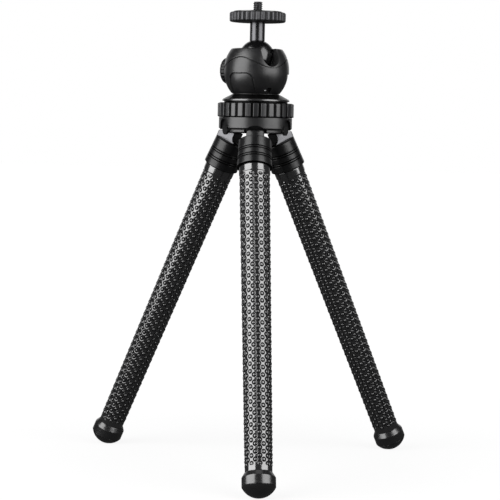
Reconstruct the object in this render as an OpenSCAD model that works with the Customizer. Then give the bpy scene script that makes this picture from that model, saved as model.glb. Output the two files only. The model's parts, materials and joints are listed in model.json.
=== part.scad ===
// Flexible leg tripod: ball head, ribbed lock ring, three hinged legs that bend.
// Millimetres, +Z up, floor at z = 0, one leg towards -Y.
// The origin is the middle of the footprint's box, so the hub's axis stands a little behind it.

/* [Legs] */
// Lean of each leg from upright, degrees
leg_lean = 25.1; // [18:0.1:32]
// Bare length of a sleeve, from ferrule to foot
sleeve_len = 207.5; // [160:0.5:260]
// Sleeve radius just below its collar
sleeve_top_r = 10.05; // [9.6:0.05:10.5]
// Sleeve radius at the foot
sleeve_foot_r = 8.65; // [8:0.05:9.6]
// Length of the smooth collar at the top of a sleeve
collar_band_len = 5; // [3:0.5:10]
// How far that collar stands out from the sleeve
collar_band_step = 0.4; // [0.2:0.1:0.8]
// Radius of the metal core
core_r = 4.6; // [4:0.1:5.2]
// Furthest bend at each flex joint, degrees
flex_limit = 30; // [20:1:36]
// Sideways set of the front leg below its ferrule, degrees
front_leg_set = 1.8; // [0:0.1:3]

/* [Ferrules] */
// Distance of a ferrule's shoulder below its hinge pin
neck_len = 8.7; // [8:0.1:10]
// Length of a ferrule below its shoulder
ferrule_len = 19.5; // [17:0.5:25]
// Ferrule radius at the mouth
ferrule_r = 12; // [11.6:0.1:12.6]
// Ferrule radius just below the shoulder
ferrule_top_r = 11; // [10.4:0.1:11.5]
// Rounding of the shoulder
shoulder_round = 0.9; // [0.4:0.1:1.5]
// Depth that a sleeve goes into its ferrule
ferrule_socket = 12; // [8:0.5:14]
// Distance of the upper pair of fine grooves below the shoulder
groove_upper_at = 7.3; // [6:0.1:8.5]
// Distance of the lower pair of fine grooves below the shoulder
groove_lower_at = 12.7; // [11.5:0.1:14]
// Step from one groove of a pair to the other
groove_step = 1.5; // [1.2:0.1:2]
// Width of a fine groove
groove_w = 0.5; // [0.3:0.1:0.8]
// Depth of a fine groove
groove_d = 0.35; // [0.2:0.05:0.6]
// Width of the hinge tongue
knuckle_w = 12; // [10:0.2:13]
// Reach of the tongue inside the middle of the leg
tongue_back = 3.1; // [2:0.1:4]
// Rounding at the tongue's inner foot
tongue_round = 3.8; // [2:0.1:4.2]
// Radius of the tongue's eye
eye_r = 4; // [3.4:0.1:4.4]
// Distance of a hinge pin outside the middle of its leg
hinge_out = 4; // [3:0.1:4.6]

/* [Feet] */
// Radius of a foot's band
foot_r = 10.8; // [10.2:0.1:11.2]
// Radius of the domed end
dome_r = 12; // [11.3:0.1:14]
// Height of the flared shoulder of a foot
foot_flare = 3.2; // [2:0.1:6]
// Height of the straight band of a foot
foot_band = 6; // [3:0.5:8]
// Depth that a sleeve goes into its foot
foot_socket = 7; // [5:0.5:9]
// Depth of the flat that the dome stands on
foot_flat = 0.5; // [0.3:0.1:0.9]
// Thickness of a foot's upper edge round the sleeve
foot_lip = 0.2; // [0.1:0.05:0.4]

/* [Hub] */
// Radius of the hub
hub_r = 24.9; // [24:0.1:26.5]
// Height of the hub above its plate
hub_h = 8.2; // [7.4:0.1:11]
// Height of the hinge pins above the hub's lower face
hinge_rise = 2; // [2:0.1:2.8]
// Thickness of the hub plate
plate_t = 2.4; // [2.2:0.1:4]
// Chamfer of the plate's lower edge
plate_chamfer = 0.9; // [0.4:0.1:1.4]
// Inset of the plate's rim from the hub
plate_inset = 2.9; // [2.2:0.1:3.6]
// Width of the leg slots in the plate
plate_slot_w = 15.2; // [14.6:0.2:16.4]
// Rise of the arch over each tongue
arch_rise = 2.8; // [1.6:0.1:3.2]
// Chamfer of the hub's lower edge
hub_chamfer = 1.2; // [0.6:0.1:1.6]
// Gap between two ferrules when the legs are folded
fold_gap = 1; // [0.6:0.1:2]
// Radius of a hinge pin
pin_r = 1.5; // [1.2:0.1:1.8]
// Length of hinge pin held at each side of a tongue
pin_hold = 3.5; // [3:0.1:5]
// Radius of the arched recesses between the legs
recess_r = 5.8; // [5:0.1:6.2]
// Height of their middle above the hub's lower face
recess_up = 1.3; // [0.6:0.1:2]
// Depth of those recesses
recess_d = 2.2; // [1.5:0.1:2.8]
// Radius of the round lug in each recess
lug_r = 3.2; // [2.6:0.1:3.6]
// Drop of the lug below the recess's middle
lug_drop = 1.6; // [1:0.1:2]
// Height of that lug
lug_h = 1.2; // [0.6:0.1:1.4]
// Distance of the plate screws from the axis
plate_screw_at = 13; // [12.6:0.1:14]
// Radius of a plate screw
plate_screw_r = 1.25; // [1:0.05:1.5]
// Length of a plate screw under its head
plate_screw_len = 6; // [5:0.5:8]
// Radius of a plate screw's head
screw_head_r = 2.25; // [1.9:0.05:2.6]
// Height of a plate screw's head
screw_head_h = 1.5; // [1.2:0.1:1.8]

/* [Lock ring] */
// Height of the ring
ring_h = 9.9; // [8:0.1:12]
// Radius over the ribs
ring_r = 25.9; // [25.4:0.1:28]
// Height of a rib
rib_h = 0.95; // [0.5:0.05:1.3]
// Width of a rib
rib_w = 3.9; // [2.5:0.1:4.4]
// Number of ribs
rib_count = 30; // [20:1:32]
// Wall of the ring between its ribs and its bore
ring_wall = 5.35; // [4:0.05:7]
// Chamfer of the ring's edges
ring_chamfer = 0.8; // [0.3:0.1:1.2]

/* [Collar and pan] */
// Radius of the collar's lip
lip_r = 22.8; // [21.5:0.1:24]
// Height of the lip
lip_h = 1.2; // [0.8:0.1:2]
// Height of the shadow gap under the lip
lip_gap = 1; // [0.6:0.1:1.6]
// Depth of that gap
lip_under = 1.2; // [0.6:0.1:1.6]
// Height of the cone
cone_h = 3.4; // [3:0.1:6]
// Inset of the cone from the lip
cone_inset = 0.2; // [0.1:0.05:0.6]
// Thickness of the pan washer
washer_t = 0.45; // [0.3:0.05:0.8]
// Radius of the pan bolt
bolt_r = 3.5; // [3:0.1:4]
// Radius of the bolt's head
bolt_head_r = 5; // [4.6:0.1:5.2]
// Height of the bolt's head
bolt_head_h = 2.6; // [2:0.1:3]
// Length of bolt in the hub
bolt_hold = 10; // [7:0.5:10.5]
// Radius of the hexagon socket in the bolt's head
hex_r = 2.5; // [2:0.1:3]
// Depth of that socket
hex_d = 1.3; // [0.8:0.1:1.6]
// Radius of the pan grub screw
grub_r = 1.65; // [1.3:0.05:1.9]
// Depth of the grub screw below the housing's face
grub_sink = 2; // [1:0.1:4]

/* [Ball head] */
// Radius of the housing
house_r = 22.1; // [21.6:0.1:23]
// Height of the lower round's centre above the base
house_drop = 14.8; // [14:0.1:15.4]
// Height of the straight belt
house_belt = 1.7; // [1:0.1:3]
// Height of the rim above the upper round's centre
house_rise = 13.9; // [13:0.1:14.6]
// Thickness of the housing's floor
floor_t = 4.6; // [4.2:0.1:5]
// Radius of the ball
ball_r = 12.4; // [12:0.1:12.9]
// Height of the ball's centre above the upper round's centre
ball_up = 7.8; // [7.4:0.1:8.6]
// Radius of the stem
stem_r = 5.1; // [4.4:0.1:5.4]
// Distance from the ball's centre to the stem's top
stem_reach = 24.1; // [22:0.1:30]
// Radius of the stem's spigot in the ball
spigot_r = 3; // [2.4:0.1:3.6]
// Length of that spigot
spigot_len = 9; // [6:0.5:10]
// Radius of the drop slot
slot_r = 6.15; // [5.9:0.05:6.6]
// Direction of the drop slot, degrees round from the front
slot_turn = 28; // [0:1:60]
// Height of the seam at its waves' tops, above the upper round's centre
seam_high = 7.9; // [7:0.1:9]
// Height of the seam between the waves
seam_low = 0.7; // [0.2:0.1:1.4]
// Depth of the recessed panels
panel_d = 0.7; // [0.3:0.1:0.9]
// Width of a panel
panel_w = 18.6; // [12:0.2:20]
// Height of a panel's top edge above the base
panel_top = 13.5; // [12:0.1:15]
// Rounding of a panel's top corners
panel_round = 4.5; // [1:0.5:6]
// Radius of the ball seat
seat_r = 7.2; // [6.4:0.1:7.8]
// Height of the seat spring
spring_h = 1; // [0.7:0.1:1.3]
// Thickness of the seat spring
spring_t = 0.4; // [0.3:0.05:0.5]
// Distance of the seam dowels from the axis
dowel_at = 17; // [16.4:0.1:17.6]
// Radius of a seam dowel
dowel_r = 1.4; // [1:0.1:1.7]
// Length of a seam dowel
dowel_len = 9; // [6:0.5:11]
// Direction of the index pip, degrees round from the slot
pip_turn = -9; // [-14:1:-9]
// Radius of the index pip
pip_r = 0.6; // [0.4:0.05:0.8]
// Depth of the index pip in the housing
pip_hold = 1.6; // [1:0.1:1.8]
// How far the index pip stands out
pip_proud = 0.15; // [0.1:0.05:0.4]

/* [Lock knob] */
// Direction of the knob, degrees round from the front
knob_turn = -118; // [-130:1:-90]
// Radius of the knob
knob_r = 8.85; // [8:0.05:9.4]
// Thickness of the knob
knob_t = 4.1; // [3.6:0.1:8]
// Rounding of the knob's outer edge
knob_edge = 2.4; // [1:0.1:3]
// Number of flutes in the knob
knob_flutes = 20; // [12:1:24]
// Radius of a flute
flute_r = 0.5; // [0.3:0.05:0.6]
// Depth of the flat that the knob turns on, below the housing's face
knob_seat_d = 1.9; // [1.9:0.1:2.6]
// Radius of the clamp screw
clamp_r = 2.5; // [2:0.1:2.9]
// Length of the clamp shoe
shoe_len = 4; // [3:0.5:6]
// Radius of the knob's cover
cover_r = 5.4; // [4:0.1:5.8]
// Thickness of the knob's cover
cover_t = 0.8; // [0.5:0.1:1.2]

/* [Camera screw] */
// Radius of the quarter-inch camera screw
stud_r = 3.175; // [2.5:0.005:4]
// Length of screw above the pad
stud_len = 6.6; // [4.5:0.1:7]
// Depth of screw held in the stem
stud_hold = 8; // [5:0.5:9]
// Chamfer of the screw's tip
stud_chamfer = 0.6; // [0.3:0.1:0.9]
// Depth of the relief groove at the screw's foot
relief_d = 0.3; // [0.2:0.05:0.5]
// Width of that groove
relief_w = 0.8; // [0.5:0.1:1.2]
// Radius of the disc
disc_r = 19.05; // [15:0.05:21]
// Thickness of the disc
disc_t = 6.5; // [4:0.1:8]
// Number of flutes round the disc
disc_flutes = 32; // [20:1:40]
// Radius of those flutes
disc_flute_r = 0.8; // [0.5:0.05:0.9]
// Depth of those flutes
disc_flute_d = 0.55; // [0.3:0.05:0.8]
// Chamfer of the disc's edges
disc_chamfer = 0.9; // [0.4:0.1:1.4]
// Radius of the pad on the disc
pad_r = 16.4; // [12:0.1:17]
// Thickness of the pad
pad_t = 0.6; // [0.4:0.1:1.2]

/* [Fits] */
// Radial play of a turning fit
run_fit = 0.06; // [0.03:0.01:0.09]
// Axial play between turning faces
face_play = 0.12; // [0.08:0.01:0.2]
// Clear space round moving parts
clear = 0.35; // [0.3:0.05:0.5]

/* [Hidden] */
$fn = 96;
LEGS = [1, 2, 3];
LENGTHS = [1, 2, 3, 4];

// Colours, all near black as the object is
SATIN = [0.16, 0.16, 0.17];
GLOSS = [0.07, 0.07, 0.08];
RUBBER = [0.1, 0.1, 0.1];
STEEL = [0.55, 0.56, 0.58];
DARK_METAL = [0.3, 0.3, 0.32];
NYLON = [0.85, 0.84, 0.8];

// Space that a cut runs past a face, and the size of the block that cuts at the floor
past = 1;
big = 200;

// Steps of the shoulder's rounding in degrees, facets of a disc flute, facets of each wave of the seam
round_step = 10;
flute_facets = 32;
wave_facets = 16;
// Reach of the seam's cut past the housing
seam_reach = 1.5;

// Small steps that keep the tongue's faces from running flush into the ferrule's
tongue_inset = 0.05;
fillet_sink = 0.05;

// Legs: u is the distance down a leg's middle from the level of its hinge pin
leg_step = 360 / len(LEGS);
leg_r = (ferrule_r + fold_gap / 2) / sin(leg_step / 2);
hinge_r = leg_r + hinge_out;
plate_r = hub_r - plate_inset;
pin_half = knuckle_w / 2 + clear + pin_hold;
mouth_u = neck_len + ferrule_len;
tongue_deep = neck_len + 2 * shoulder_round;
rim_u = mouth_u + sleeve_len;
dome_u = rim_u + foot_flare + foot_band - sqrt(dome_r * dome_r - foot_r * foot_r);
sleeve_end_u = rim_u + foot_socket;
socket_u = mouth_u - ferrule_socket;
spigot_step = 0.8;
core_top_hold = 4;
core_top_u = socket_u - core_top_hold;
mouth_seam = 0.05;
mouth_gap = (sleeve_top_r + collar_band_step) * tan(front_leg_set) + mouth_seam;
function flex_u(i) = mouth_u + i * sleeve_len / len(LENGTHS);
function sleeve_r(u) = sleeve_top_r + (sleeve_foot_r - sleeve_top_r) * (u - mouth_u) / sleeve_len;
flex_tuck = 10;
flex_step = 0.1;
function flex_ball_r(i) = sleeve_r(flex_u(i)) - flex_step;
function flex_cup_u(i) = flex_u(i) - flex_ball_r(i) * sin(flex_limit - flex_tuck);

// Heights, from the floor up
hinge_z = dome_u * cos(leg_lean) + hinge_out * sin(leg_lean) + dome_r - foot_flat;
hub_z = hinge_z - hinge_rise;
hub_top_z = hub_z + hub_h;
collar_z = hub_top_z + ring_h + 2 * face_play;
collar_top_z = collar_z + lip_gap + lip_h + cone_h;
house_z = collar_top_z + washer_t;
low_z = house_z + house_drop;
high_z = low_z + house_belt;
rim_z = high_z + house_rise;
ball_z = high_z + ball_up;
stem_top_z = ball_z + stem_reach;
disc_z = stem_top_z + face_play;
pad_z = disc_z + disc_t;
stud_top_z = pad_z + pad_t + stud_len;

// Boss of the hub that carries the lock ring
boss_r = ring_r - rib_h - ring_wall;

// Places round the axis
foot_circle_r = hinge_r - hinge_out * cos(leg_lean) + dome_u * sin(leg_lean);
axis_y = foot_circle_r / 4;
between_turn = leg_step / 2;
panel_turn = slot_turn - leg_step / 2;

// Housing
base_r = sqrt(house_r * house_r - house_drop * house_drop);
ball_play = 0.12;
socket_r = ball_r + ball_play;
clamp_z = (low_z + high_z) / 2;
knob_face = house_r - knob_seat_d;
clamp_drop = ball_z - clamp_z;
shoe_in = sqrt(ball_r * ball_r - clamp_drop * clamp_drop) + ball_play;
screw_in = shoe_in + shoe_len + face_play;
knob_in = knob_face + face_play;
head_z = house_z + floor_t + face_play;
ledge_z = head_z + bolt_head_h + clear;
seat_z = ledge_z + spring_h;
seat_top_z = ball_z - sqrt(socket_r * socket_r - seat_r * seat_r) - clear;
grub_z = house_z + floor_t / 2;
grub_face = sqrt(house_r * house_r - pow(low_z - grub_z, 2));
ball_flat = sqrt(ball_r * ball_r - stem_r * stem_r);

// Places children on the hub's axis
module on_axis() {
    translate([0, axis_y, 0]) children();
}

// Turns children round the axis, degrees from the front
module toward(turn) {
    on_axis() rotate([0, 0, turn]) children();
}

// A round bar that runs outward at a height, from one distance to another
module bar_out(turn, z, r, from, to) {
    toward(turn) translate([0, -from, z]) rotate([90, 0, 0]) cylinder(r = r, h = to - from);
}

// A hinge's own frame: pin along x at the origin, leg straight down
module on_hinge(n) {
    toward((n - 1) * leg_step) translate([0, -hinge_r, hinge_z]) rotate([-leg_lean, 0, 0]) children();
}

// The same about the leg's middle, which lies inside the pin
module on_leg(n) {
    on_hinge(n) translate([0, hinge_out, 0]) children();
}

// The same below the ferrule's mouth, with the front leg's sideways set
module below_mouth(n) {
    set = n == 1 ? front_leg_set : 0;
    on_leg(n) translate([0, 0, -mouth_u]) rotate([0, -set, 0]) translate([0, 0, mouth_u]) children();
}

// Turns a profile of [radius, distance down the leg] points
module down_leg(points) {
    rotate_extrude() polygon([for (p = points) [p[0], -p[1]]]);
}

// Outer form of the housing, taken in by an inset
module house_form(inset) {
    r = house_r - inset;
    on_axis() union() {
        translate([0, 0, low_z]) cylinder(r = r, h = house_belt);
        intersection() {
            translate([0, 0, low_z]) sphere(r = r);
            translate([0, 0, house_z]) cylinder(r = house_r + past, h = house_drop);
        }
        intersection() {
            translate([0, 0, high_z]) sphere(r = r);
            translate([0, 0, high_z]) cylinder(r = house_r + past, h = house_rise);
        }
    }
}

// All below the wavy seam: a fan of flat facets from the axis out past the housing
module below_seam() {
    far = seam_reach * house_r;
    steps = wave_facets * len(LEGS);
    mid = high_z + (seam_high + seam_low) / 2;
    swing = seam_reach * (seam_high - seam_low) / 2;
    ring = [for (i = [0 : steps - 1]) let (a = i * 360 / steps)
        [far * sin(a), -far * cos(a), mid + swing * cos(len(LEGS) * a)]];
    under = [for (p = ring) [p[0], p[1], house_z - past]];
    next = [for (i = [0 : steps - 1]) (i + 1) % steps];
    toward(panel_turn) polyhedron(
        points = concat(ring, under, [[0, 0, mid], [0, 0, house_z - past]]),
        faces = concat(
            [for (i = [0 : steps - 1]) [2 * steps, next[i], i]],
            [for (i = [0 : steps - 1]) [i, next[i], steps + i]],
            [for (i = [0 : steps - 1]) [next[i], steps + next[i], steps + i]],
            [for (i = [0 : steps - 1]) [2 * steps + 1, steps + i, steps + next[i]]]));
}

// Room for the ball and for the stem's drop to one side
module ball_room() {
    on_axis() translate([0, 0, ball_z]) sphere(r = socket_r);
    bar_out(slot_turn, ball_z, slot_r, 0, house_r + past);
    toward(slot_turn) translate([-slot_r, -house_r - past, ball_z])
        cube([2 * slot_r, house_r + past, house_r]);
}

// Outline of a recessed panel, drawn outward
module panel_cut(turn) {
    toward(turn) translate([0, 0, house_z]) rotate([90, 0, 0]) linear_extrude(house_r + past) union() {
        translate([-panel_w / 2, -past]) square([panel_w, panel_top - panel_round + past]);
        translate([-panel_w / 2 + panel_round, 0]) square([panel_w - 2 * panel_round, panel_top]);
        for (side = [-1, 1])
            translate([side * (panel_w / 2 - panel_round), panel_top - panel_round]) circle(r = panel_round);
    }
}

// Flat and bore for the knob and its screw
module knob_room() {
    bar_out(knob_turn, clamp_z, knob_r + clear, knob_face, house_r + past);
    bar_out(knob_turn, clamp_z, clamp_r + run_fit, 0, house_r);
}

module dowel(turn) {
    toward(turn) translate([0, -dowel_at, high_z + (seam_high + seam_low - dowel_len) / 2])
        cylinder(r = dowel_r, h = dowel_len);
}

module all_dowels() {
    for (k = LEGS) dowel(panel_turn + k * leg_step);
}

module hub() {
    color(SATIN) difference() {
        union() {
            difference() {
                on_axis() translate([0, 0, hub_z]) rotate_extrude() polygon([[0, 0],
                    [hub_r - hub_chamfer, 0], [hub_r, hub_chamfer], [hub_r, hub_h],
                    [boss_r, hub_h], [boss_r, collar_z - hub_z], [0, collar_z - hub_z]]);
                for (n = LEGS) hub_recess(n);
            }
            for (n = LEGS) hub_lug(n);
        }
        for (n = LEGS) leg_pocket(n);
        pin_channels();
        all_pins();
        all_plate_screws();
        on_axis() translate([0, 0, collar_z - bolt_hold]) cylinder(r = bolt_r, h = bolt_hold + past);
    }
}

// Pocket for a tongue's eye, with the arch that lets the tongue lean out
module leg_pocket(n) {
    wide = knuckle_w + 2 * clear;
    room = eye_r + clear;
    foot_at = wide / 2 + clear;
    arc_r = (foot_at * foot_at + arch_rise * arch_rise) / (2 * arch_rise);
    toward((n - 1) * leg_step) translate([0, -hinge_r, hub_z]) {
        translate([-wide / 2, -room, -past]) cube([wide, 2 * room, hinge_rise + room + past]);
        intersection() {
            translate([0, 0, arch_rise - arc_r]) rotate([90, 0, 0]) cylinder(r = arc_r, h = hub_r);
            translate([-wide / 2, -hub_r, -past]) cube([wide, hub_r, hub_h]);
        }
    }
}

// Arched recess between two legs
module hub_recess(n) {
    bar_out((n - 1) * leg_step + between_turn, hub_z + recess_up, recess_r, hub_r - recess_d, hub_r + past);
}

// Round lug in that recess, which hangs down over the plate's rim
module hub_lug(n) {
    floor_at = hub_r - recess_d;
    bar_out((n - 1) * leg_step + between_turn, hub_z + recess_up - lug_drop, lug_r, floor_at - clear, floor_at + lug_h);
}

// Channels that the hinge pins drop into from below
module pin_channels() {
    half = pin_r + clear;
    for (n = LEGS)
        toward((n - 1) * leg_step) translate([-pin_half, -hinge_r - half, hub_z - plate_t / 2])
            cube([2 * pin_half, 2 * half, hinge_rise + plate_t / 2]);
}

// Pads that reach up through the channels to the pins, a little narrower and shorter than they are
module pin_pads() {
    half = pin_r - clear;
    reach = pin_half - clear;
    for (n = LEGS)
        toward((n - 1) * leg_step) translate([-reach, -hinge_r - half, hub_z - plate_t / 2])
            cube([2 * reach, 2 * half, hinge_rise + plate_t / 2]);
}

// Plate with a slot for each leg, and the pads under the pins
module hub_plate() {
    slot_in = hinge_r - hinge_out - tongue_back - clear;
    pad_out = plate_r - plate_chamfer;
    color(SATIN) difference() {
        union() {
            on_axis() translate([0, 0, hub_z - plate_t]) rotate_extrude() polygon([[0, 0], [pad_out, 0],
                [plate_r, plate_chamfer], [plate_r, plate_t], [0, plate_t]]);
            intersection() {
                pin_pads();
                on_axis() translate([0, 0, hub_z - plate_t]) cylinder(r = pad_out, h = plate_t + hub_h);
            }
        }
        for (n = LEGS)
            toward((n - 1) * leg_step)
                translate([-plate_slot_w / 2, -hub_r - past, hub_z - plate_t - past])
                    cube([plate_slot_w, hub_r + past - slot_in, plate_t + hinge_rise + 2 * past]);
        all_pins();
        all_plate_screws();
    }
}

module all_pins() {
    for (n = LEGS)
        toward((n - 1) * leg_step) translate([-pin_half, -hinge_r, hinge_z]) rotate([0, 90, 0])
            cylinder(r = pin_r, h = 2 * pin_half);
}

module hinge_pins() {
    color(STEEL) all_pins();
}

module all_plate_screws() {
    for (n = LEGS)
        toward((n - 1) * leg_step + between_turn) translate([0, -plate_screw_at, hub_z - plate_t]) {
            cylinder(r = screw_head_r, h = screw_head_h);
            cylinder(r = plate_screw_r, h = screw_head_h + plate_screw_len);
        }
}

module plate_screws() {
    color(STEEL) all_plate_screws();
}

// Collar: a lip over a shadow gap, and a cone up to the housing
module collar() {
    cone_r = lip_r - cone_inset;
    under_r = lip_r - lip_under;
    lip_top = lip_gap + lip_h;
    color(GLOSS) difference() {
        on_axis() translate([0, 0, collar_z]) rotate_extrude() polygon([[0, 0], [under_r, 0],
            [under_r, lip_gap], [lip_r, lip_gap], [lip_r, lip_top], [cone_r, lip_top],
            [base_r, lip_top + cone_h], [0, lip_top + cone_h]]);
        on_axis() translate([0, 0, collar_z - past]) cylinder(r = bolt_r, h = lip_top + cone_h + 2 * past);
    }
}

module pan_bolt() {
    color(STEEL) on_axis() difference() {
        union() {
            translate([0, 0, collar_z - bolt_hold]) cylinder(r = bolt_r, h = head_z - collar_z + bolt_hold);
            translate([0, 0, head_z]) cylinder(r = bolt_head_r, h = bolt_head_h);
        }
        translate([0, 0, head_z + bolt_head_h - hex_d]) cylinder(r = hex_r, h = hex_d + past, $fn = 6);
    }
}

module pan_washer() {
    color(NYLON) on_axis() translate([0, 0, collar_top_z]) difference() {
        cylinder(r = base_r - 2 * clear, h = washer_t - face_play);
        translate([0, 0, -past]) cylinder(r = bolt_r, h = washer_t + 2 * past);
    }
}

module lock_ring() {
    core = ring_r - rib_h;
    color(SATIN) on_axis() translate([0, 0, hub_top_z + face_play]) difference() {
        union() {
            cylinder(r = core, h = ring_h);
            intersection() {
                rotate_extrude() polygon([[0, 0], [ring_r - ring_chamfer, 0], [ring_r, ring_chamfer],
                    [ring_r, ring_h - ring_chamfer], [ring_r - ring_chamfer, ring_h], [0, ring_h]]);
                union() for (i = [0 : rib_count - 1])
                    rotate([0, 0, i * 360 / rib_count]) translate([0, -rib_w / 2, 0])
                        cube([ring_r + past, rib_w, ring_h]);
            }
        }
        translate([0, 0, -past]) cylinder(r = boss_r + run_fit, h = ring_h + 2 * past);
    }
}

module housing_body() {
    color(SATIN) difference() {
        intersection() {
            house_form(0);
            below_seam();
        }
        ball_room();
        knob_room();
        all_dowels();
        for (k = LEGS) difference() {
            panel_cut(panel_turn + k * leg_step);
            house_form(panel_d);
        }
        on_axis() {
            translate([0, 0, house_z - past]) cylinder(r = bolt_r + run_fit, h = floor_t + 2 * past);
            translate([0, 0, house_z + floor_t])
                cylinder(r = bolt_head_r + clear, h = ball_z - house_z - floor_t);
            translate([0, 0, ledge_z]) cylinder(r = seat_r + run_fit, h = ball_z - ledge_z);
        }
        bar_out(slot_turn, grub_z, grub_r, 0, house_r);
        bar_out(slot_turn + pip_turn, grub_z, pip_r, grub_face - pip_hold, house_r);
    }
}

module housing_cap() {
    color(SATIN) difference() {
        house_form(0);
        below_seam();
        ball_room();
        knob_room();
        all_dowels();
    }
}

module cap_dowels() {
    color(STEEL) all_dowels();
}

module ball_seat() {
    color(NYLON) on_axis() difference() {
        translate([0, 0, seat_z]) cylinder(r = seat_r, h = seat_top_z - seat_z);
        translate([0, 0, ball_z]) sphere(r = socket_r);
    }
}

module seat_spring() {
    out = seat_r - clear;
    in = bolt_head_r + clear;
    color(STEEL) on_axis() translate([0, 0, ledge_z]) rotate_extrude()
        polygon([[out, 0], [out, spring_t], [in, spring_h], [in, spring_h - spring_t]]);
}

module pan_grub_screw() {
    color(STEEL) bar_out(slot_turn, grub_z, grub_r, bolt_r + clear, grub_face - grub_sink);
}

module index_pip() {
    color(NYLON) bar_out(slot_turn + pip_turn, grub_z, pip_r, grub_face - pip_hold, grub_face + pip_proud);
}

module clamp_shoe() {
    color(NYLON) difference() {
        bar_out(knob_turn, clamp_z, clamp_r, shoe_in, shoe_in + shoe_len);
        on_axis() translate([0, 0, ball_z]) sphere(r = socket_r);
    }
}

module clamp_screw() {
    color(STEEL) bar_out(knob_turn, clamp_z, clamp_r, screw_in, knob_in + knob_t - cover_t);
}

module lock_knob() {
    color(GLOSS) toward(knob_turn) translate([0, -knob_in, clamp_z]) rotate([90, 0, 0]) difference() {
        rotate_extrude() union() {
            square([knob_r - knob_edge, knob_t]);
            square([knob_r, knob_t - knob_edge]);
            intersection() {
                translate([knob_r - knob_edge, knob_t - knob_edge]) circle(r = knob_edge);
                translate([knob_r - knob_edge, 0]) square([knob_edge, knob_t]);
            }
        }
        translate([0, 0, -past]) cylinder(r = clamp_r, h = knob_t + 2 * past);
        translate([0, 0, knob_t - cover_t]) cylinder(r = cover_r, h = cover_t + past);
        for (i = [0 : knob_flutes - 1])
            rotate([0, 0, i * 360 / knob_flutes]) translate([knob_r, 0, -past])
                cylinder(r = flute_r, h = knob_t + 2 * past);
    }
}

module knob_cap() {
    color(DARK_METAL) bar_out(knob_turn, clamp_z, cover_r, knob_in + knob_t - cover_t, knob_in + knob_t);
}

module ball() {
    color(GLOSS) on_axis() difference() {
        translate([0, 0, ball_z]) sphere(r = ball_r);
        translate([0, 0, ball_z + ball_flat]) cylinder(r = ball_r, h = ball_r);
        translate([0, 0, ball_z + ball_flat - spigot_len])
            cylinder(r = spigot_r + run_fit, h = spigot_len + past);
    }
}

module stem() {
    foot_z = ball_z + ball_flat + face_play;
    color(DARK_METAL) on_axis() difference() {
        union() {
            translate([0, 0, foot_z]) cylinder(r = stem_r, h = stem_top_z - foot_z);
            translate([0, 0, foot_z - spigot_len + clear]) cylinder(r = spigot_r, h = spigot_len);
        }
        translate([0, 0, stem_top_z - stud_hold]) cylinder(r = stud_r, h = stud_hold + past);
    }
}

module camera_stud() {
    foot_z = stem_top_z - stud_hold;
    tall = stud_top_z - foot_z;
    free = tall - stud_len;
    neck_r = stud_r - relief_d;
    color(STEEL) on_axis() translate([0, 0, foot_z]) rotate_extrude() polygon([[0, 0], [stud_r, 0],
        [stud_r, free - relief_w], [neck_r, free - relief_w], [neck_r, free], [stud_r, free],
        [stud_r, tall - stud_chamfer], [stud_r - stud_chamfer, tall], [0, tall]]);
}

module lock_disc() {
    color(SATIN) on_axis() translate([0, 0, disc_z]) difference() {
        rotate_extrude() polygon([[0, 0], [disc_r - disc_chamfer, 0], [disc_r, disc_chamfer],
            [disc_r, disc_t - disc_chamfer], [disc_r - disc_chamfer, disc_t], [0, disc_t]]);
        translate([0, 0, -past]) cylinder(r = stud_r + run_fit, h = disc_t + 2 * past);
        for (i = [0 : disc_flutes - 1])
            rotate([0, 0, i * 360 / disc_flutes]) translate([disc_r + disc_flute_r - disc_flute_d, 0, -past])
                cylinder(r = disc_flute_r, h = disc_t + 2 * past, $fn = flute_facets);
    }
}

module disc_pad() {
    color(RUBBER) on_axis() translate([0, 0, pad_z]) difference() {
        cylinder(r = pad_r, h = pad_t);
        translate([0, 0, -past]) cylinder(r = stud_r + clear, h = pad_t + 2 * past);
    }
}

// Ferrule: flat shoulder, slow taper with two pairs of fine grooves, hinge tongue
module ferrule(n) {
    function wall(u) = ferrule_top_r + (ferrule_r - ferrule_top_r) * (u - neck_len) / ferrule_len;
    color(GLOSS) difference() {
        on_leg(n) union() {
            down_leg(concat([[0, neck_len]],
                [for (a = [0 : round_step : 90]) [ferrule_top_r - shoulder_round * (1 - sin(a)),
                    neck_len + shoulder_round * (1 - cos(a))]],
                [for (at = [groove_upper_at, groove_lower_at], line = [0, groove_step],
                    step = [[0, 0], [0, 1], [1, 1], [1, 0]])
                    let (u = neck_len + at + line + step[0] * groove_w) [wall(u) - step[1] * groove_d, u]],
                [[ferrule_r, mouth_u], [0, mouth_u]]));
            intersection() {
                translate([0, -hinge_out, 0]) tongue();
                translate([0, 0, -tongue_deep])
                    cylinder(r = ferrule_top_r - tongue_inset, h = tongue_deep + eye_r + past);
            }
        }
        on_hinge(n) rotate([0, 90, 0]) cylinder(r = pin_r + run_fit, h = 2 * knuckle_w, center = true);
        below_mouth(n) translate([0, 0, -mouth_u - past])
            cylinder(r = sleeve_top_r - spigot_step, h = ferrule_socket + past);
        below_mouth(n) translate([0, 0, -mouth_u]) cylinder(r = core_r, h = mouth_u - core_top_u);
    }
}

// Tongue in the hinge's frame: flat sides, an eye, a sloped top that clears the hub, a fillet at its foot
module tongue() {
    top = hinge_rise + clear;
    back = hinge_out + tongue_back;
    front = ferrule_top_r - hinge_out + past;
    rotate([90, 0, 90]) linear_extrude(knuckle_w, center = true) union() {
        circle(r = eye_r);
        polygon([[back, -top], [0, -top], [0, -top / cos(leg_lean)],
            [-front, -top / cos(leg_lean) - front * tan(leg_lean)],
            [-front, -tongue_deep], [back, -tongue_deep]]);
        difference() {
            translate([back - past, -tongue_deep])
                square([tongue_round + past, tongue_deep - neck_len + tongue_round]);
            translate([back + tongue_round, tongue_round - neck_len - fillet_sink]) circle(r = tongue_round);
        }
    }
}

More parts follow.
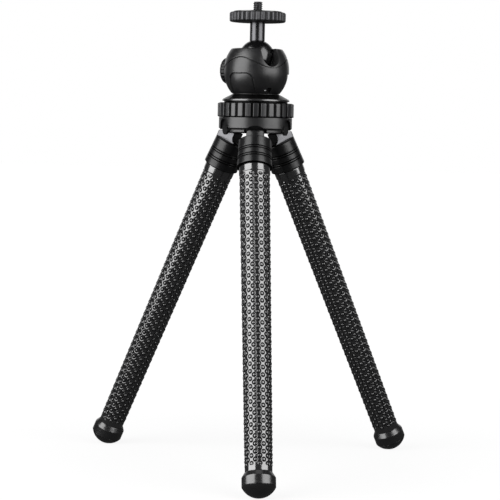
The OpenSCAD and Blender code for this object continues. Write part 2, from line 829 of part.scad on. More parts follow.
// Rounds the top of a leg's length into a ball, and hollows its end into a cup for the next ball
module flex_ends(k) {
    first = k == LENGTHS[0];
    last = k == LENGTHS[len(LENGTHS) - 1];
    difference() {
        intersection() {
            children();
            if (!first) union() {
                translate([0, 0, -flex_u(k - 1)]) sphere(r = flex_ball_r(k - 1));
                translate([0, 0, -sleeve_end_u]) cylinder(r = ferrule_r, h = sleeve_end_u - flex_u(k - 1));
            }
        }
        if (!last) translate([0, 0, -flex_u(k)]) sphere(r = flex_ball_r(k) + clear);
    }
}

// One length of the metal core
module core(n, k) {
    top = k == LENGTHS[0] ? core_top_u : flex_u(k - 1) - flex_ball_r(k - 1);
    end = k == LENGTHS[len(LENGTHS) - 1] ? sleeve_end_u : flex_cup_u(k);
    color(DARK_METAL) below_mouth(n) flex_ends(k)
        translate([0, 0, -end]) cylinder(r = core_r, h = end - top);
}

// One length of the sleeve, on the core; the first has the collar, the last goes into the foot
module sleeve(n, k) {
    band_r = sleeve_top_r + collar_band_step;
    band_u = mouth_u + mouth_gap;
    band_end_u = band_u + collar_band_len;
    top = flex_u(k - 1) - flex_ball_r(k - 1);
    end = flex_cup_u(k);
    top_points = k == LENGTHS[0]
        ? [[core_r, socket_u], [sleeve_top_r - spigot_step, socket_u], [sleeve_top_r - spigot_step, band_u],
            [band_r, band_u], [band_r, band_end_u], [sleeve_r(band_end_u), band_end_u + collar_band_step]]
        : [[core_r, top], [sleeve_r(top), top]];
    end_points = k == LENGTHS[len(LENGTHS) - 1]
        ? [[sleeve_r(rim_u), rim_u], [sleeve_r(rim_u) - spigot_step, rim_u],
            [sleeve_r(rim_u) - spigot_step, sleeve_end_u], [core_r, sleeve_end_u]]
        : [[sleeve_r(end), end], [core_r, end]];
    color(RUBBER) below_mouth(n) flex_ends(k) down_leg(concat(top_points, end_points));
}

// Foot: flared rim, straight band, domed end cut flat at the floor
module foot(n) {
    rim_r = sleeve_foot_r + foot_lip;
    color(RUBBER) difference() {
        below_mouth(n) difference() {
            union() {
                down_leg([[0, rim_u], [rim_r, rim_u], [foot_r, rim_u + foot_flare],
                    [foot_r, rim_u + foot_flare + foot_band], [0, rim_u + foot_flare + foot_band]]);
                intersection() {
                    translate([0, 0, -dome_u]) sphere(r = dome_r);
                    translate([0, 0, -rim_u - foot_flare - dome_r - foot_band])
                        cylinder(r = foot_r, h = dome_r + foot_band);
                }
            }
            translate([0, 0, -sleeve_end_u])
                cylinder(r = sleeve_foot_r - spigot_step, h = foot_socket + past);
        }
        translate([-big, -big, -big]) cube([2 * big, 2 * big, big]);
    }
}

hub();
hub_plate();
plate_screws();
hinge_pins();
collar();
pan_bolt();
pan_washer();
lock_ring();
housing_body();
housing_cap();
cap_dowels();
ball_seat();
seat_spring();
pan_grub_screw();
index_pip();
clamp_shoe();
clamp_screw();
lock_knob();
knob_cap();
ball();
stem();
camera_stud();
lock_disc();
disc_pad();
for (n = LEGS) ferrule(n);
for (n = LEGS, k = LENGTHS) core(n, k);
for (n = LEGS, k = LENGTHS) sleeve(n, k);
for (n = LEGS) foot(n);
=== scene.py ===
"""Flexible leg tripod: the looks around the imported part, in metres, in the part's own frame."""
import json
import math

import bpy
import numpy as np
from mathutils import Matrix, Vector


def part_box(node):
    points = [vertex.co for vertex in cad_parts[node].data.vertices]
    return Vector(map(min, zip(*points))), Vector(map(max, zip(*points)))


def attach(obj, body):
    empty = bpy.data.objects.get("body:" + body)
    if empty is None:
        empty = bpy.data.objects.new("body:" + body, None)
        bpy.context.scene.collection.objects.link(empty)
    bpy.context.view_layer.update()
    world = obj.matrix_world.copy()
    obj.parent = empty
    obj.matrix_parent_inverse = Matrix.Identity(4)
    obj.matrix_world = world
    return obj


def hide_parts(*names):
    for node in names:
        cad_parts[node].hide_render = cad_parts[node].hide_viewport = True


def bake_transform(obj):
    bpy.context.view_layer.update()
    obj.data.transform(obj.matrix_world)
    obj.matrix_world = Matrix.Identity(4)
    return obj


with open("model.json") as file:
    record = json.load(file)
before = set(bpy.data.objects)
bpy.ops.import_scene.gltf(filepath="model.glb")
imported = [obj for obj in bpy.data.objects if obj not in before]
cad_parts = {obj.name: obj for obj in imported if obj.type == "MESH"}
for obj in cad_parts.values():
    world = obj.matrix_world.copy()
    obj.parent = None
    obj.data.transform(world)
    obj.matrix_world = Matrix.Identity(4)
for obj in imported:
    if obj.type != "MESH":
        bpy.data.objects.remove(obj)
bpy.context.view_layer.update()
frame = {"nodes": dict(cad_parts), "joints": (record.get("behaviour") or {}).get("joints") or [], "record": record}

# Sizes are in millimetres until a mesh is made
MM = 0.001
record = frame["record"]
joints = {joint["name"]: joint for joint in frame["joints"]}
LEGS = (1, 2, 3)


def place_of(joint):
    """A joint's place in millimetres."""
    return np.array(joints[joint]["pos_m"]) / MM


def axis_of(joint):
    """A joint's axis as a unit row."""
    line = np.array(joints[joint]["axis"], float)
    return line / np.linalg.norm(line)


def top_of(node):
    """The height of a node's top in millimetres."""
    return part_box(node)[1].z / MM


def foot_of(node):
    """The height of a node's underside in millimetres."""
    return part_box(node)[0].z / MM


# Places that the part's own record gives
hub_axis = place_of("head_pan") * (1, 1, 0)
house_z = place_of("head_pan")[2]
ball_z = place_of("ball_tilt")[2]
clamp_z = place_of("clamp_knob_turn")[2]
rim_z = top_of("housing_cap")
lean = math.radians(joints["leg_1_fold"]["range_deg"][1])

# Sizes repeated from the part's source
sleeve_top_r = 10.05
sleeve_foot_r = 8.65
collar_band_len = 5.0
collar_band_step = 0.4
neck_len = 8.7
ferrule_len = 19.5
ferrule_r = 12.0
ferrule_top_r = 11.0
shoulder_round = 0.9
groove_upper_at = 7.3
groove_lower_at = 12.7
groove_step = 1.5
groove_d = 0.35
tongue_half = 6.0
tongue_back = 3.1
tongue_round = 3.8
eye_r = 4.0
hinge_out = 4.0
hinge_rise = 2.0
foot_r = 10.8
dome_r = 12.0
foot_flare = 3.2
foot_band = 6.0
foot_lip = 0.2
ring_r = 25.9
rib_h = 0.95
rib_w = 3.9
rib_count = 30
lip_r = 22.8
lip_h = 1.2
lip_gap = 1.0
lip_under = 1.2
house_r = 22.1
house_drop = 14.8
house_belt = 1.7
slot_r = 6.15
slot_turn = math.radians(28.0)
seam_high = 7.9
seam_low = 0.7
panel_d = 0.7
panel_w = 18.6
panel_top = 13.5
panel_round = 4.5
ball_play = 0.12
ball_r = 12.4
knob_turn = math.radians(-118.0)
knob_r = 8.85
knob_t = 4.1
knob_face = 20.2
knob_flutes = 20
clear = 0.35
grub_r = 1.65
stem_r = 5.1
stud_r = 3.175
stud_len = 6.6
disc_r = 19.05
disc_flutes = 32

# The smallest radius at an axis, and the gap between parts that rest on each other
axis_r = 0.05
rest_gap = 0.12

# Heights that follow from them
low_z = house_z + house_drop
high_z = low_z + house_belt
socket_r = ball_r + ball_play
base_r = math.sqrt(house_r ** 2 - house_drop ** 2)


# Colours and materials


def hex_rgb(code):
    """sRGB hex to linear red, green, blue and alpha: up to 0.04045 it is divided by 12.92, and above that
    0.055 is added, and the sum over 1.055 is raised to the power of 2.4."""
    parts = np.array([int(code[i:i + 2], 16) for i in (1, 3, 5)]) / 255
    linear = np.where(parts <= 0.04045, parts / 12.92, ((parts + 0.055) / 1.055) ** 2.4)
    return (*linear.tolist(), 1.0)


def add(tree, kind, sockets=None, **properties):
    """Adds one node: properties are set on it, and each socket gets a value or a link from an output."""
    made = tree.nodes.new(kind)
    for name, value in properties.items():
        setattr(made, name, value)
    for name, value in (sockets or {}).items():
        if isinstance(value, bpy.types.NodeSocket):
            tree.links.new(value, made.inputs[name])
        else:
            made.inputs[name].default_value = value
    return made


def new_material(name):
    """An empty node material with its output, and the tree to fill."""
    made = bpy.data.materials.new(name)
    made.use_nodes = True
    made.node_tree.nodes.clear()
    return made, made.node_tree


def grained(name, dark, light, rough, grain_mm, grain_depth_mm, cloud_mm=9.0, stretch=(1, 1, 1), **shader):
    """A surface with two patterns on Object coordinates: soft clouds that mix two colours and two
    roughnesses, and a fine grain that lifts the surface. Sizes are in millimetres, and stretch draws the
    grain out."""
    made, tree = new_material(name)
    where = add(tree, "ShaderNodeTexCoord").outputs["Object"]
    drawn = add(tree, "ShaderNodeMapping", {"Vector": where, "Scale": stretch}).outputs["Vector"]
    cloud = add(tree, "ShaderNodeTexNoise", {"Vector": where, "Scale": 1 / (cloud_mm * MM), "Detail": 3.0})
    grain = add(tree, "ShaderNodeTexNoise", {"Vector": drawn, "Scale": 1 / (grain_mm * MM), "Detail": 2.0})
    colour = add(tree, "ShaderNodeMix", {0: cloud.outputs["Fac"], 6: hex_rgb(dark), 7: hex_rgb(light)},
                 data_type="RGBA")
    sheen = add(tree, "ShaderNodeMapRange", {"Value": cloud.outputs["Fac"], "From Min": 0.3, "From Max": 0.7,
                                             "To Min": rough[0], "To Max": rough[1]})
    lift = add(tree, "ShaderNodeBump", {"Height": grain.outputs["Fac"], "Strength": 1.0,
                                        "Distance": grain_depth_mm * MM})
    sockets = {"Base Color": colour.outputs[2], "Roughness": sheen.outputs["Result"],
               "Normal": lift.outputs["Normal"], **shader}
    shaded = add(tree, "ShaderNodeBsdfPrincipled", sockets)
    add(tree, "ShaderNodeOutputMaterial", {"Surface": shaded.outputs["BSDF"]})
    return made


def relieved(name, groove, crest, rough, shine, **shader):
    """A surface whose relief is carried by the piece's own attribute: crests are rubbed smoother, low places get
    painted shade, a darker colour and almost no sheen, and high places the lighter colour and full sheen. A fine
    grain breaks it. Sizes are in millimetres."""
    grain_mm, grain_depth_mm, wear_mm = 0.3, 0.004, 14
    groove_shine = 0.05
    made, tree = new_material(name)
    where = add(tree, "ShaderNodeTexCoord").outputs["Object"]
    height = add(tree, "ShaderNodeAttribute", attribute_name="relief").outputs["Fac"]
    grain = add(tree, "ShaderNodeTexNoise", {"Vector": where, "Scale": 1 / (grain_mm * MM), "Detail": 2.0})
    cloud = add(tree, "ShaderNodeTexNoise", {"Vector": where, "Scale": 1 / (wear_mm * MM), "Detail": 3.0})
    # painted shade: the darker colour where the relief is low
    colour = add(tree, "ShaderNodeMix", {0: height, 6: hex_rgb(groove), 7: hex_rgb(crest)}, data_type="RGBA")
    worn = add(tree, "ShaderNodeMath", {0: height, 1: cloud.outputs["Fac"]}, operation="MULTIPLY")
    sheen = add(tree, "ShaderNodeMapRange", {"Value": worn.outputs["Value"], "From Min": 0.0, "From Max": 0.7,
                                             "To Min": rough[1], "To Max": rough[0]})
    # painted shade: the sheen fades out where the relief is low
    gleam = add(tree, "ShaderNodeMapRange", {"Value": height, "From Min": 0.35, "From Max": 1.0,
                                             "To Min": groove_shine, "To Max": shine})
    lift = add(tree, "ShaderNodeBump", {"Height": grain.outputs["Fac"], "Strength": 1.0,
                                        "Distance": grain_depth_mm * MM})
    sockets = {"Base Color": colour.outputs[2], "Roughness": sheen.outputs["Result"],
               "Normal": lift.outputs["Normal"], "Specular IOR Level": gleam.outputs["Result"], **shader}
    shaded = add(tree, "ShaderNodeBsdfPrincipled", sockets)
    add(tree, "ShaderNodeOutputMaterial", {"Surface": shaded.outputs["BSDF"]})
    return made


# Glass-filled nylon, moulded in a spark-eroded tool: an even satin black
satin = grained("satin_moulded_nylon", "#0f0f10", "#171718", (0.3, 0.38), 0.5, 0.014,
                **{"IOR": 1.5, "Specular IOR Level": 0.76})
# The same nylon from a finer tool, for the knob: deep black with a weak sheen
fine_satin = grained("fine_satin_nylon", "#070708", "#0b0b0c", (0.34, 0.42), 0.5, 0.004,
                     **{"IOR": 1.5, "Specular IOR Level": 0.3})
# ABS from a polished tool: deep black with a clear sheen
gloss = grained("polished_abs", "#0b0b0c", "#101011", (0.26, 0.33), 2.5, 0.003,
                **{"IOR": 1.55, "Specular IOR Level": 0.9})
# Silicone rubber sleeve: black, with a silky sheen on the raised net and painted shade in its grooves, a darker
# colour and almost no sheen
sleeve_rubber = relieved("silicone_sleeve", "#0e0e0f", "#1b1b1c", (0.12, 0.2), 0.95, IOR=1.8)
# The same nylon on the lock ring, with painted shade between its ribs: a darker colour and almost no sheen
ribbed = relieved("ribbed_nylon", "#050505", "#18181a", (0.3, 0.4), 0.72, IOR=1.55)
# Black nylon of the ferrules: soft bands of light, broken by grooves with painted shade, a darker colour and
# almost no sheen
turned_nylon = relieved("turned_nylon", "#030303", "#0c0c0d", (0.28, 0.36), 0.5, IOR=1.5)
# Black nylon of the collar: the lip gets a lighter colour and full sheen, a painted highlight, and the cone a
# darker colour and almost no sheen, painted shade
lipped = relieved("lipped_nylon", "#040404", "#161617", (0.22, 0.3), 0.9, IOR=1.7)
# Flat sides of the hinge tongues, which are the ferrule's black nylon: a pale grey metal paints their reflection
# of the lamps brighter, a painted reflection
flat_painted_reflection = grained("tongue_flat_painted_reflection", "#58585a", "#626264", (0.24, 0.32), 1.0, 0.002, Metallic=1.0)
# Harder rubber of the feet: smooth, with a low sheen
foot_rubber = grained("foot_rubber", "#111112", "#171718", (0.22, 0.3), 0.4, 0.004,
                      **{"IOR": 1.6, "Specular IOR Level": 0.9})
# Black anodised aluminium of the disc: dull metal, with a painted highlight on its ribs, a lighter colour and full
# sheen, and painted shade in its flutes, a darker colour and almost no sheen
anodised = relieved("black_anodised_aluminium", "#2e2e2f", "#525254", (0.38, 0.48), 0.5, Metallic=0.7)
# Ground and polished steel of the stem, with faint turning lines
polished = grained("polished_steel", "#535355", "#5c5c5e", (0.26, 0.33), 1.2, 0.002, stretch=(0.3, 0.3, 8),
                   Metallic=1.0)
# Blackened screw steel
blackened = grained("blackened_steel", "#4c4c4e", "#5a5a5c", (0.32, 0.42), 0.4, 0.006, Metallic=0.9)
# Black oxide of the screws that sit in holes, painted darker and given almost no sheen so that the hole shows
# dark: painted shade
oxide_and_painted_shade = grained("black_oxide_steel_with_painted_shade", "#060606", "#0a0a0a", (0.7, 0.8), 0.4, 0.006,
                **{"Specular IOR Level": 0.1})
# Hard black lacquer of the ball
lacquer = grained("black_lacquer", "#0a0a0b", "#0e0e0f", (0.18, 0.24), 4.0, 0.002, IOR=1.7)
# Plain turned steel of the hidden bolts
bare_steel = grained("bare_steel", "#8f9194", "#a3a5a8", (0.28, 0.36), 0.6, 0.006, stretch=(1, 1, 5),
                     Metallic=1.0)
# Drawn aluminium of the bendable core
core_alloy = grained("drawn_aluminium", "#a4a6a9", "#b5b7ba", (0.32, 0.42), 0.8, 0.01, stretch=(5, 5, 1),
                     Metallic=1.0)
# Undyed nylon of the hidden bearings
nylon = grained("natural_nylon", "#c9c7bf", "#d8d6cf", (0.4, 0.5), 0.5, 0.01, IOR=1.53)
# Black nylon of the pan washer, whose edge shows as a dark line
dark_nylon = grained("black_nylon", "#101010", "#161616", (0.45, 0.55), 0.5, 0.008, IOR=1.53)
# Grey nylon of the index dot
grey_nylon = grained("grey_nylon", "#77787a", "#858688", (0.4, 0.5), 0.5, 0.008, IOR=1.53)

of_slot = {"satin_black": satin, "gloss_black": gloss, "black_rubber": foot_rubber, "black_metal": lacquer,
           "dark_steel": polished, "steel": bare_steel, "alloy": core_alloy, "nylon": nylon}
for part in record["subparts"]:
    frame["nodes"][part["node"]].data.materials.clear()
    frame["nodes"][part["node"]].data.materials.append(of_slot[part["material_slot"]])
# the grub screw carries the painted shade of its hole
shown_as = {"pan_grub_screw": oxide_and_painted_shade, "plate_screws": blackened, "hinge_pins": blackened,
            "pan_washer": dark_nylon, "index_pip": grey_nylon}
for name, material in shown_as.items():
    frame["nodes"][name].data.materials[0] = material


# Surfaces


def smooth(low, high, value):
    """Rises from 0 at low to 1 at high as 3t squared less 2t cubed, flat outside."""
    t = np.clip((value - low) / (high - low), 0, 1)
    return t * t * (3 - 2 * t)


def bent(start, corner, end, t):
    """Points of a quadratic curve from start to end that a corner draws: the three points are weighted by
    the square of 1 less t, by twice t times 1 less t, and by the square of t."""
    return (1 - t) ** 2 * start + 2 * t * (1 - t) * corner + t ** 2 * end


def rounded(corners, radii, steps=6):
    """A profile of [r, z] rows with its corners rounded: each corner gives way to a quadratic curve that
    starts and ends at its radius along the two sides."""
    made = [np.array(corners[0], float)]
    for before, corner, after, radius in zip(corners[:-2], corners[1:-1], corners[2:], radii):
        before, corner, after = (np.array(p, float) for p in (before, corner, after))
        back = (before - corner) / np.linalg.norm(before - corner)
        on = (after - corner) / np.linalg.norm(after - corner)
        t = np.linspace(0, 1, steps)[:, None]
        made.extend(bent(corner + back * radius, corner, corner + on * radius, t))
    made.append(np.array(corners[-1], float))
    return np.array(made)


def finer(profile, step):
    """The same profile with more rows: each side is cut into pieces no longer than step."""
    lengths = np.linalg.norm(np.diff(profile, axis=0), axis=1)
    along = np.concatenate([[0], np.cumsum(lengths)])
    counts = np.maximum(1, np.ceil(lengths / step)).astype(int)
    spots = np.concatenate([np.linspace(a, b, n, endpoint=False)
                            for a, b, n in zip(along[:-1], along[1:], counts)] + [along[-1:]])
    return np.stack([np.interp(spots, along, profile[:, i]) for i in (0, 1)], axis=1)


def round_grid(profile, angles, lift=None):
    """Turns a profile of [r, z] rows about z: x is r times sine, y is minus r times cosine of the angle, so
    that angle 0 faces the front. lift, a function of angle, r and z, is added to the radius."""
    turn, r = np.meshgrid(angles, profile[:, 0])
    z = np.repeat(profile[:, 1:2], len(angles), axis=1)
    if lift is not None:
        r = r + lift(turn, r, z)
    return np.stack([r * np.sin(turn), -r * np.cos(turn), z], axis=2)


def full_turn(count):
    """Angles of a full turn without its last, which is the first."""
    return np.arange(count) * 2 * math.pi / count


def piece(name, grid, material, closed_rows=False, attribute=None, sharp=40):
    """Makes a mesh from a grid of points in millimetres: rows run along a shape and columns go round it and
    meet. The rows either meet too, or each end is closed by a fan to its middle. Faces point outwards."""
    rows, columns = grid.shape[:2]
    index = np.arange(rows * columns).reshape(rows, columns)
    if closed_rows:
        index = np.vstack([index, index[:1]])
    right = np.roll(index, -1, axis=1)
    quads = np.stack([index[:-1], right[:-1], right[1:], index[1:]], axis=2).reshape(-1, 4)
    points = grid.reshape(-1, 3)
    faces = quads.tolist()
    if not closed_rows:
        points = np.vstack([points, grid[0].mean(0), grid[-1].mean(0)])
        first, last = rows * columns, rows * columns + 1
        top = np.stack([right[0], index[0], np.full(columns, first)], axis=1)
        end = np.stack([index[-1], right[-1], np.full(columns, last)], axis=1)
        faces = faces + top.tolist() + end.tolist()
    corner, beside, below = (points[quads[:, i]] for i in (0, 1, 3))
    normals = np.cross(beside - corner, below - corner)
    volume = np.sum((corner - points.mean(0)) * normals)
    if volume < 0:
        faces = [face[::-1] for face in faces]
    mesh = bpy.data.meshes.new(name)
    mesh.from_pydata((points * MM).tolist(), [], faces)
    mesh.validate()
    mesh.polygons.foreach_set("use_smooth", np.ones(len(mesh.polygons), bool))
    mesh.set_sharp_from_angle(angle=math.radians(sharp))
    if attribute is not None:
        field = mesh.attributes.new("relief", "FLOAT", "POINT")
        values = np.zeros(len(points), np.float32)
        values[:rows * columns] = attribute.ravel()
        field.data.foreach_set("value", values)
    mesh.materials.append(material)
    made = bpy.data.objects.new(name, mesh)
    bpy.context.scene.collection.objects.link(made)
    return made


def framed(grid, origin, x_axis, y_axis, z_axis):
    """Carries a grid from a local frame into the part's frame."""
    return origin + grid @ np.stack([x_axis, y_axis, z_axis])


UP = np.array([0.0, 0.0, 1.0])
column_frame = (hub_axis, np.array([1.0, 0, 0]), np.array([0, 1.0, 0]), UP)
knob_out = np.array([math.sin(knob_turn), -math.cos(knob_turn), 0])
knob_side = np.array([math.cos(knob_turn), math.sin(knob_turn), 0])


# Legs

net_columns = 20
net_pitch = 4.96
net_depth = 0.3
pip_rise = 0.32
groove_in = 0.98
groove_out = 1.46
net_turn = math.radians(4.6)
net_start = 0.3
net_soft = 0.17
net_fade = 0.6
smooth_top_band = 2.0
smooth_foot_band = 3.6
sleeve_tuck = 0.8
steps_across = 12
steps_along = 20


def sleeve_r(s, length):
    """The sleeve's radius without its relief: it falls evenly from the top to the foot."""
    return sleeve_top_r + (sleeve_foot_r - sleeve_top_r) * s / length


def net_relief(turn, s, length):
    """Two heights from 0 to 1 of the moulded relief: the flat less its grooves, and the domes. Round pips
    stand in columns round the leg, every second column half a pitch higher or lower. With d the distance to
    the nearest pip's middle, a groove of even depth runs round the pip where d lies between its two radii,
    a dome stands on the pip as 1 less the fourth power of d over the smaller radius, and all else is flat.
    Both fade out towards the smooth bands."""
    first = collar_band_len + smooth_top_band
    last = length - smooth_foot_band
    across = (turn - net_turn) * net_columns / (2 * math.pi)
    down = (s - first - net_start) / net_pitch
    width = 2 * math.pi * sleeve_r(s, length) / net_columns
    found = []
    for shift in (-1, 0, 1):
        column = np.round(across) + shift
        half = 0.5 * np.mod(column + 1, 2)
        for row_shift in (0, 1):
            row = np.floor(down - half) + row_shift
            found.append(np.hypot((across - column) * width, (down - half - row) * net_pitch))
    near = np.min(np.stack(found), axis=0)
    off_pip = smooth(groove_in - net_soft, groove_in + net_soft, near)
    off_groove = smooth(groove_out - net_soft, groove_out + net_soft, near)
    groove = off_pip * (1 - off_groove)
    begun = smooth(first - net_fade, first + net_fade, s)
    ended = smooth(last - net_fade, last + net_fade, s)
    inside = begun * (1 - ended)
    return 1 - inside * groove, inside * np.maximum(1 - (near / groove_in) ** 4, 0)


def sleeve_rows(length):
    """Distances down the sleeve: fine steps of a twentieth of the relief's pitch."""
    return np.arange(-1.0, length + 2.0, net_pitch / steps_along)


def leg_sleeve(n):
    """A leg's sleeve: a slow taper less the net's grooves and with its domes, a raised smooth collar at its
    top, and both ends drawn in. It is made as three pieces, each round one joint of the leg."""
    spots = [place_of(f"leg_{n}_flex_{k}") for k in (1, 2, 3)]
    down = (spots[2] - spots[0]) / np.linalg.norm(spots[2] - spots[0])
    quarter = np.linalg.norm(spots[1] - spots[0])
    length = 4 * quarter
    mouth = spots[0] - quarter * down
    x_axis = -axis_of(f"leg_{n}_flex_1")
    y_axis = -axis_of(f"leg_{n}_flex_2")
    angles = full_turn(net_columns * steps_across)
    s = sleeve_rows(length)
    turn, spot = np.meshgrid(angles, s)
    height, dome = net_relief(turn, spot, length)
    band = smooth(0.2, 0.7, spot) * (1 - smooth(collar_band_len, collar_band_len + 0.8, spot))
    r = sleeve_r(spot, length) + collar_band_step * band - net_depth * (1 - height) + pip_rise * dome
    r = r - sleeve_tuck * (1 - smooth(-0.1, 0.5, spot)) - sleeve_tuck * smooth(length, length + 0.4, spot)
    local = np.stack([r * np.sin(turn), -r * np.cos(turn), -spot], axis=2)
    grid = framed(local, mouth, x_axis, y_axis, -down)
    cuts = np.searchsorted(s, [1.5 * quarter, 2.5 * quarter])
    parts = zip(("upper", "middle", "lower"), (0, *cuts), (*(cuts + 1), len(s)))
    for k, (part, start, end) in enumerate(parts):
        # the relief goes to the material, which paints shade into the net's grooves
        made = piece(f"leg_{n}_sleeve_{part}", grid[start:end], sleeve_rubber,
                     attribute=height[start:end], sharp=80)
        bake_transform(made)
        covered = {0: (1,), 1: (2, 3), 2: (4,)}[k]
        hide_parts(*[f"sleeve_{n}_{i}" for i in covered])
    return mouth, down, x_axis, y_axis, length


def leg_foot(n, mouth, down, x_axis, y_axis, length):
    """A domed foot: flared shoulder, short band and a part of a ball, turned about the leg. What would lie
    under the floor is brought up to it, which makes the flat it stands on."""
    rim_wall = 1.2
    band_bevel = 0.35
    rim_r = sleeve_foot_r + foot_lip
    band_end = foot_flare + foot_band
    centre = band_end - math.sqrt(dome_r ** 2 - foot_r ** 2)
    start = math.acos((band_end - centre) / dome_r)
    arc = np.linspace(start, 0.02, 28)
    dome = np.stack([dome_r * np.sin(arc), -(centre + dome_r * np.cos(arc))], axis=1)
    corners = [(rim_r - rim_wall, 0.0), (rim_r, 0.0), (foot_r, -foot_flare),
               (foot_r, -band_end + band_bevel), (foot_r - 0.3, -band_end + 0.1), (foot_r - 0.1, -band_end)]
    upper = rounded(corners, (0.2, 0.4, 0.15, 0.1))
    profile = np.vstack([finer(upper, 0.5), dome])
    grid = round_grid(profile, full_turn(120))
    grid = framed(grid, mouth + length * down, x_axis, y_axis, -down)
    grid[:, :, 2] = np.maximum(grid[:, :, 2], 0)
    made = piece(f"leg_{n}_foot", grid, foot_rubber)
    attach(made, f"leg_{n}_length_4")
    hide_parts(f"foot_{n}")


def leg_axes(n):
    """A leg's hinge pin and its own frame: along the pin, in towards the hub, and down the leg."""
    x_axis = axis_of(f"leg_{n}_fold")
    out = np.cross(x_axis, UP)
    down = math.sin(lean) * out - math.cos(lean) * UP
    return place_of(f"leg_{n}_fold"), x_axis, np.cross(-down, x_axis), down


def ferrule_wall(at):
    """The ferrule's radius at a distance below its shoulder: an even taper."""
    return ferrule_top_r + (ferrule_r - ferrule_top_r) * at / ferrule_len


def leg_ferrule(n):
    """A ferrule: a turned body with a flat shoulder, a slow taper and two pairs of fine grooves. Distances
    down the leg are counted from the hinge pin."""
    mouth_r, bore_r, bore_shown = 9.6, 9.3, 2
    groove_shape = ((0, -0.1), (-groove_d, 0.05), (-groove_d, 0.45), (0, 0.6))
    hinge, x_axis, inward, down = leg_axes(n)
    mouth_u = neck_len + ferrule_len
    corners = [(axis_r, neck_len), (ferrule_top_r, neck_len)]
    for pair_at in (groove_upper_at, groove_lower_at):
        for at in (pair_at, pair_at + groove_step):
            wall = ferrule_wall(at)
            corners += [(wall + across, neck_len + at + along) for across, along in groove_shape]
    corners += [(ferrule_r, mouth_u), (mouth_r, mouth_u), (bore_r, mouth_u - bore_shown)]
    radii = (shoulder_round, *[0.2, 0.08, 0.08, 0.2] * 4, 0.4, 0.2)
    profile = finer(rounded(corners, radii, steps=5), 0.7)
    wall = ferrule_wall(profile[:, 1] - neck_len)
    # the groove depth, which the material turns into painted shade in the grooves
    height = np.clip(1 - (wall - profile[:, 0]) / groove_d, 0, 1)
    body = round_grid(profile * (1, -1), full_turn(144))
    grid = framed(body, hinge + hinge_out * inward, x_axis, inward, -down)
    made = piece(f"leg_{n}_ferrule", grid, turned_nylon,
                 attribute=np.broadcast_to(height[:, None], body.shape[:2]), sharp=50)
    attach(made, f"leg_{n}")
    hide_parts(f"ferrule_{n}")


def leg_tongue(n):
    """The hinge's tongue, a slab with flat sides that stands on the ferrule. Its rows go down the leg: its
    back follows the eye's circle, then a straight face and a fillet, and its front follows the circle, then
    a slope that clears the hub, as far as the round of the body's wall. Distances down the leg are counted
    from the hinge pin."""
    corner = 0.45
    flat_from = 0.97
    hinge, x_axis, inward, down = leg_axes(n)
    top = hinge_rise + clear
    back = hinge_out + tongue_back
    bend = np.linspace(0, math.pi / 2, 9)
    round_u = np.concatenate([-eye_r * np.cos(np.linspace(0.1, 1.5, 12)), [0.0, 0.8, 1.6, top - 0.01]])
    fillet_u = neck_len - tongue_round * (1 - np.sin(bend))
    u = np.concatenate([round_u, np.linspace(top, fillet_u[0], 5)[:-1], fillet_u, [neck_len + 1.0]])
    circle = np.sqrt(np.maximum(eye_r ** 2 - u ** 2, 0))
    into = np.clip(u - neck_len + tongue_round, 0, tongue_round)
    rear = np.where(u < top, circle, back + tongue_round - np.sqrt(tongue_round ** 2 - into ** 2))
    slope = (u - top / math.cos(lean)) / math.tan(lean)
    fore = np.maximum(circle, np.maximum(slope, 0.0))
    half = np.concatenate([np.linspace(0, tongue_half - corner, 8)[:-1],
                           tongue_half - corner * (1 - np.sin(np.linspace(0, math.pi / 2, 6)))])
    x = np.concatenate([-half[:0:-1], half])
    past = np.maximum(np.abs(x) - tongue_half + corner, 0)
    edge = corner - np.sqrt(np.maximum(corner ** 2 - past ** 2, 0))
    wall = np.sqrt((ferrule_top_r - 0.05) ** 2 - x ** 2) - hinge_out
    front_y = -np.minimum(fore[:, None], wall) + edge
    back_y = np.maximum(rear[:, None] - edge, front_y + 0.02)
    loop_x = np.broadcast_to(np.concatenate([x, x[::-1]]), (len(u), 2 * len(x)))
    loop_y = np.concatenate([front_y, back_y[:, ::-1]], axis=1)
    slab = np.stack([loop_x, loop_y, -np.repeat(u[:, None], loop_x.shape[1], axis=1)], axis=2)
    made = piece(f"leg_{n}_tongue", framed(slab, hinge, x_axis, inward, -down), turned_nylon,
                 attribute=np.ones(slab.shape[:2]), sharp=35)
    # the tongue's flat sides get the pale grey metal as a painted reflection
    made.data.materials.append(flat_painted_reflection)
    normals = np.zeros(3 * len(made.data.polygons), np.float32)
    made.data.polygons.foreach_get("normal", normals)
    flat = np.abs(normals.reshape(-1, 3) @ x_axis) > flat_from
    made.data.polygons.foreach_set("material_index", flat.astype(np.int32))
    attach(made, f"leg_{n}")
    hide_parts(f"ferrule_{n}")


for n in LEGS:
    leg_foot(n, *leg_sleeve(n))
    leg_ferrule(n)
    leg_tongue(n)


# Lock ring, collar, disc, stem and screw


